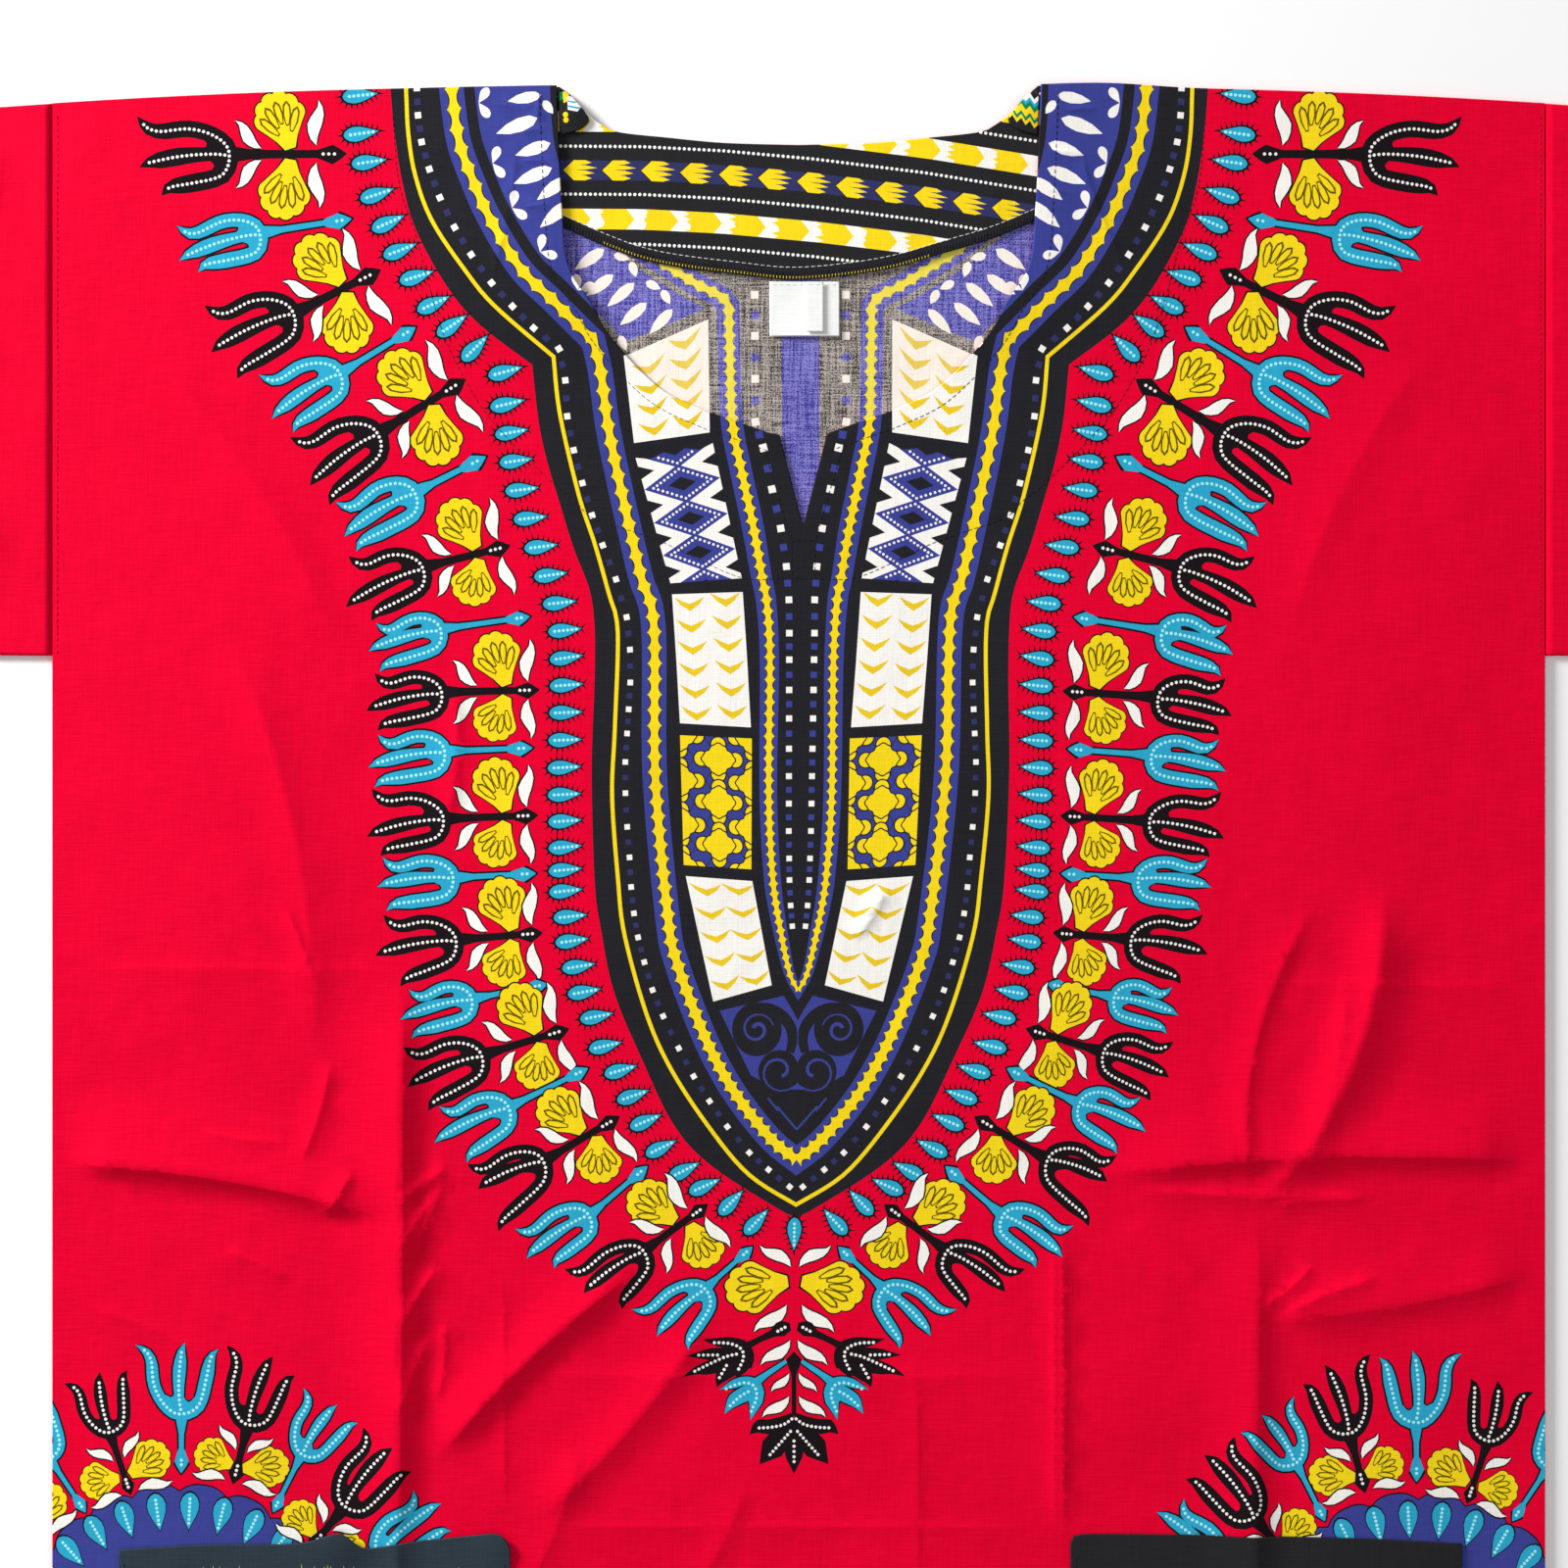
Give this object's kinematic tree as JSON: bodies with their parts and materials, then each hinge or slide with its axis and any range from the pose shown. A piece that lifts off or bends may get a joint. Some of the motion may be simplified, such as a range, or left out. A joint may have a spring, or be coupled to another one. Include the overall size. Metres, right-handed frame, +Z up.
{
  "type": "dashiki shirt",
  "caption": "Loose short-sleeved dashiki shirt laid flat, with a curved slit neck, a faced back neck and two patch pockets near the hem.",
  "frame": {"origin": "under the middle of the whole shirt, on the surface it lies on", "axes": "+X to the right of someone looking down on the front, +Y towards the shoulders, +Z up, away from the surface"},
  "size_m": [1.166, 0.85, 0.0093],
  "materials": {
    "print": "printed plain-weave cotton, matt",
    "print_inside": "wrong side of printed cotton, matt",
    "red_cloth": "plain-weave cotton, matt",
    "border_cloth": "striped printed cotton, matt",
    "label": "smooth woven tape"
  },
  "bodies": {
    "root": {"front_panel": "print", "back_panel": "print_inside", "sleeve_left": "red_cloth", "sleeve_right": "red_cloth", "pocket_left": "border_cloth", "pocket_right": "border_cloth", "back_neck_facing": "border_cloth", "facing_roll_left": "border_cloth", "facing_roll_right": "border_cloth", "size_label": "label", "care_tab": "label"}
  },
  "joints": []
}
